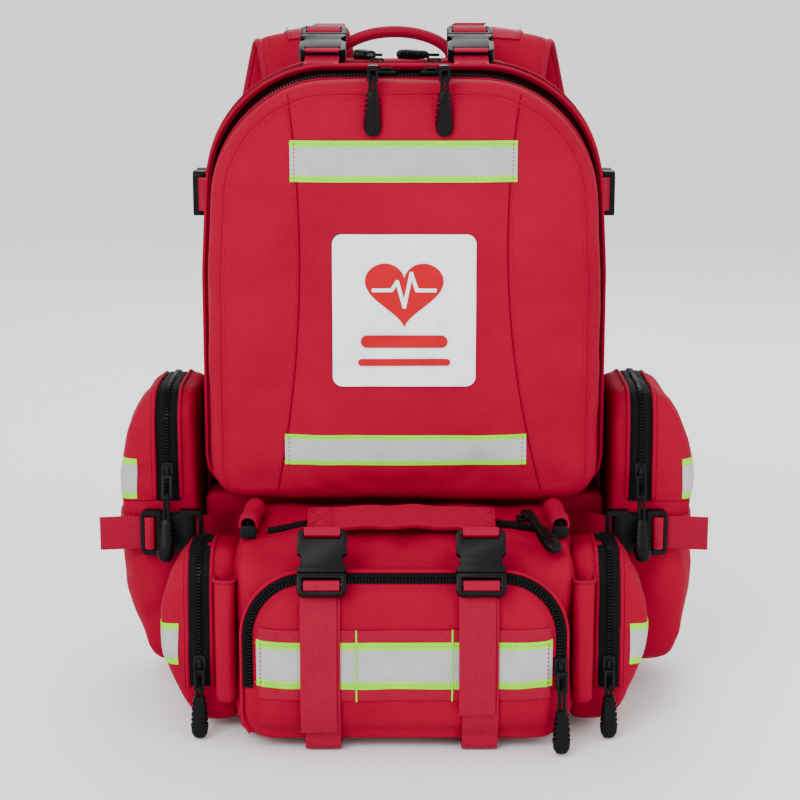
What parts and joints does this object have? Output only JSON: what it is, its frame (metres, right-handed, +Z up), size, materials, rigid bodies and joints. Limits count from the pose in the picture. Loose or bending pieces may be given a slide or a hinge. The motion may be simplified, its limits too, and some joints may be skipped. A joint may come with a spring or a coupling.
{
  "type": "trauma backpack",
  "caption": "Red clamshell medical backpack with zipped side pouches, a waist pack on the front, reflective bands, side-release buckles and padded shoulder straps.",
  "frame": {"origin": "on the ground under the main pack, on the flat bottom it stands on", "axes": "+Z up, -Y to the front, away from the wearer, +X to the right as seen from the front"},
  "size_m": [0.452, 0.3524, 0.5022],
  "materials": {
    "red_fabric": "coated oxford weave",
    "padded_fabric": "foam covered in oxford weave",
    "webbing": "ribbed webbing",
    "zip_tape": "coil zip on woven tape",
    "reflective_tape": "retroreflective with lime edges",
    "patch_vinyl": "smooth vinyl",
    "buckle_plastic": "moulded, satin",
    "zip_metal": "black enamel",
    "pull_rubber": "moulded over cord",
    "stiffener": "sheet"
  },
  "bodies": {
    "pack": {"back_pad": "padded_fabric", "buckle_sockets": "buckle_plastic", "frame_sheet": "stiffener", "inner_divider": "red_fabric", "main_shell": "red_fabric", "main_zip": "zip_tape", "pack_webbing": "webbing", "pouch_left": "red_fabric", "pouch_right": "red_fabric", "pouch_straps": "webbing", "pouch_zips": "zip_tape", "shoulder_strap_left": "padded_fabric", "shoulder_strap_right": "padded_fabric", "strap_adjusters": "buckle_plastic", "waist_bands": "reflective_tape", "waist_handle": "webbing", "waist_hooks": "buckle_plastic", "waist_pockets": "red_fabric", "waist_shell": "red_fabric", "waist_sleeves": "red_fabric", "waist_straps": "webbing", "waist_zips": "zip_tape"},
    "main_flap": {"main_flap": "red_fabric", "front_zip": "zip_tape", "top_sockets": "buckle_plastic"},
    "front_lid": {"front_lid": "red_fabric", "lid_bands": "reflective_tape", "patch": "patch_vinyl"},
    "haul_handle": {"haul_handle": "red_fabric"},
    "front_slider_left": {"front_slider_left": "zip_metal"},
    "front_pull_left": {"front_pull_left": "pull_rubber"},
    "main_slider_left": {"main_slider_left": "zip_metal"},
    "top_latch_left": {"top_latch_left": "buckle_plastic", "top_strap_left": "webbing"},
    "side_latch_left": {"side_latch_left": "buckle_plastic"},
    "pouch_cover_left": {"pouch_cover_left": "red_fabric", "pouch_band_left": "reflective_tape"},
    "pouch_slider_left": {"pouch_slider_left": "zip_metal"},
    "pouch_pull_left": {"pouch_pull_left": "pull_rubber"},
    "pouch_latch_left": {"pouch_latch_left": "buckle_plastic"},
    "waist_latch_left": {"waist_latch_left": "buckle_plastic"},
    "front_slider_right": {"front_slider_right": "zip_metal"},
    "front_pull_right": {"front_pull_right": "pull_rubber"},
    "main_slider_right": {"main_slider_right": "zip_metal"},
    "top_latch_right": {"top_latch_right": "buckle_plastic", "top_strap_right": "webbing"},
    "side_latch_right": {"side_latch_right": "buckle_plastic"},
    "pouch_cover_right": {"pouch_cover_right": "red_fabric", "pouch_band_right": "reflective_tape"},
    "pouch_slider_right": {"pouch_slider_right": "zip_metal"},
    "pouch_pull_right": {"pouch_pull_right": "pull_rubber"},
    "pouch_latch_right": {"pouch_latch_right": "buckle_plastic"},
    "waist_latch_right": {"waist_latch_right": "buckle_plastic"},
    "waist_slider_front": {"waist_slider_front": "zip_metal"},
    "waist_pull_front": {"waist_pull_front": "pull_rubber"},
    "waist_slider_left": {"waist_slider_left": "zip_metal"},
    "waist_pull_left": {"waist_pull_left": "pull_rubber"},
    "waist_slider_right": {"waist_slider_right": "zip_metal"},
    "waist_pull_right": {"waist_pull_right": "pull_rubber"},
    "waist_slider_top": {"waist_slider_top": "zip_metal"}
  },
  "joints": [
    {"name": "main_flap_fold", "type": "hinge", "parent": "pack", "child": "main_flap", "pos_m": [0, -0.099, 0.167], "axis": [1, 0, 0], "range_deg": [0, 35]},
    {"name": "front_lid_fold", "type": "hinge", "parent": "main_flap", "child": "front_lid", "pos_m": [0, -0.099, 0.167], "axis": [1, 0, 0], "range_deg": [0, 40]},
    {"name": "haul_handle_swing", "type": "hinge", "parent": "pack", "child": "haul_handle", "pos_m": [-0.007, 0.07, 0.4785], "axis": [1, 0, 0], "range_deg": [-60, 60]},
    {"name": "front_slider_left_run", "type": "slide", "parent": "front_lid", "child": "front_slider_left", "axis": [1, 0, 0], "range_m": [-0.045, 0.009]},
    {"name": "front_pull_left_swing", "type": "hinge", "parent": "front_slider_left", "child": "front_pull_left", "pos_m": [-0.013, -0.0685, 0.4703], "axis": [-1, 0, 0], "range_deg": [0, 60]},
    {"name": "front_slider_right_run", "type": "slide", "parent": "front_lid", "child": "front_slider_right", "axis": [1, 0, 0], "range_m": [-0.009, 0.045]},
    {"name": "front_pull_right_swing", "type": "hinge", "parent": "front_slider_right", "child": "front_pull_right", "pos_m": [0.019, -0.0685, 0.4703], "axis": [-1, 0, 0], "range_deg": [0, 60]},
    {"name": "main_slider_left_run", "type": "slide", "parent": "pack", "child": "main_slider_left", "axis": [1, 0, 0], "range_m": [-0.014, 0.013]},
    {"name": "main_slider_right_run", "type": "slide", "parent": "pack", "child": "main_slider_right", "axis": [1, 0, 0], "range_m": [-0.013, 0.002]},
    {"name": "top_latch_left_release", "type": "slide", "parent": "pack", "child": "top_latch_left", "axis": [0, 0.9205, 0.3907], "range_m": [0, 0.024]},
    {"name": "side_latch_left_release", "type": "slide", "parent": "pack", "child": "side_latch_left", "axis": [0, 1, 0], "range_m": [0, 0.024]},
    {"name": "pouch_latch_left_release", "type": "slide", "parent": "pack", "child": "pouch_latch_left", "axis": [-1, 0, 0], "range_m": [0, 0.024]},
    {"name": "waist_latch_left_release", "type": "slide", "parent": "pack", "child": "waist_latch_left", "axis": [0, -0.5, -0.866], "range_m": [0, 0.024]},
    {"name": "pouch_cover_left_fold", "type": "hinge", "parent": "pack", "child": "pouch_cover_left", "pos_m": [-0.2208, 0, 0.1502], "axis": [0, -1, 0], "range_deg": [0, 75]},
    {"name": "pouch_slider_left_run", "type": "slide", "parent": "pack", "child": "pouch_slider_left", "axis": [0, 0, 1], "range_m": [0, 0.034]},
    {"name": "pouch_pull_left_swing", "type": "hinge", "parent": "pouch_slider_left", "child": "pouch_pull_left", "pos_m": [-0.176, -0.0719, 0.169], "axis": [-1, 0, 0], "range_deg": [0, 55]},
    {"name": "top_latch_right_release", "type": "slide", "parent": "pack", "child": "top_latch_right", "axis": [0, 0.9205, 0.3907], "range_m": [0, 0.024]},
    {"name": "side_latch_right_release", "type": "slide", "parent": "pack", "child": "side_latch_right", "axis": [0, 1, 0], "range_m": [0, 0.024]},
    {"name": "pouch_latch_right_release", "type": "slide", "parent": "pack", "child": "pouch_latch_right", "axis": [1, 0, 0], "range_m": [0, 0.024]},
    {"name": "waist_latch_right_release", "type": "slide", "parent": "pack", "child": "waist_latch_right", "axis": [0, -0.5, -0.866], "range_m": [0, 0.024]},
    {"name": "pouch_cover_right_fold", "type": "hinge", "parent": "pack", "child": "pouch_cover_right", "pos_m": [0.2208, 0, 0.1502], "axis": [0, 1, 0], "range_deg": [0, 75]},
    {"name": "pouch_slider_right_run", "type": "slide", "parent": "pack", "child": "pouch_slider_right", "axis": [0, 0, 1], "range_m": [0, 0.034]},
    {"name": "pouch_pull_right_swing", "type": "hinge", "parent": "pouch_slider_right", "child": "pouch_pull_right", "pos_m": [0.176, -0.0719, 0.169], "axis": [-1, 0, 0], "range_deg": [0, 55]},
    {"name": "waist_slider_front_run", "type": "slide", "parent": "pack", "child": "waist_slider_front", "axis": [0, 0, 1], "range_m": [0, 0.02]},
    {"name": "waist_pull_front_swing", "type": "hinge", "parent": "waist_slider_front", "child": "waist_pull_front", "pos_m": [0.109, -0.1932, 0.059], "axis": [-1, 0, 0], "range_deg": [0, 60]},
    {"name": "waist_slider_left_run", "type": "slide", "parent": "pack", "child": "waist_slider_left", "axis": [0, 0, 1], "range_m": [0, 0.04]},
    {"name": "waist_pull_left_swing", "type": "hinge", "parent": "waist_slider_left", "child": "waist_pull_left", "pos_m": [-0.1454, -0.16, 0.049], "axis": [-1, 0, 0], "range_deg": [0, 60]},
    {"name": "waist_slider_right_run", "type": "slide", "parent": "pack", "child": "waist_slider_right", "axis": [0, 0, 1], "range_m": [0, 0.04]},
    {"name": "waist_pull_right_swing", "type": "hinge", "parent": "waist_slider_right", "child": "waist_pull_right", "pos_m": [0.1454, -0.16, 0.049], "axis": [-1, 0, 0], "range_deg": [0, 60]},
    {"name": "waist_slider_top_run", "type": "slide", "parent": "pack", "child": "waist_slider_top", "axis": [1, 0, 0], "range_m": [-0.014, 0.002]}
  ]
}
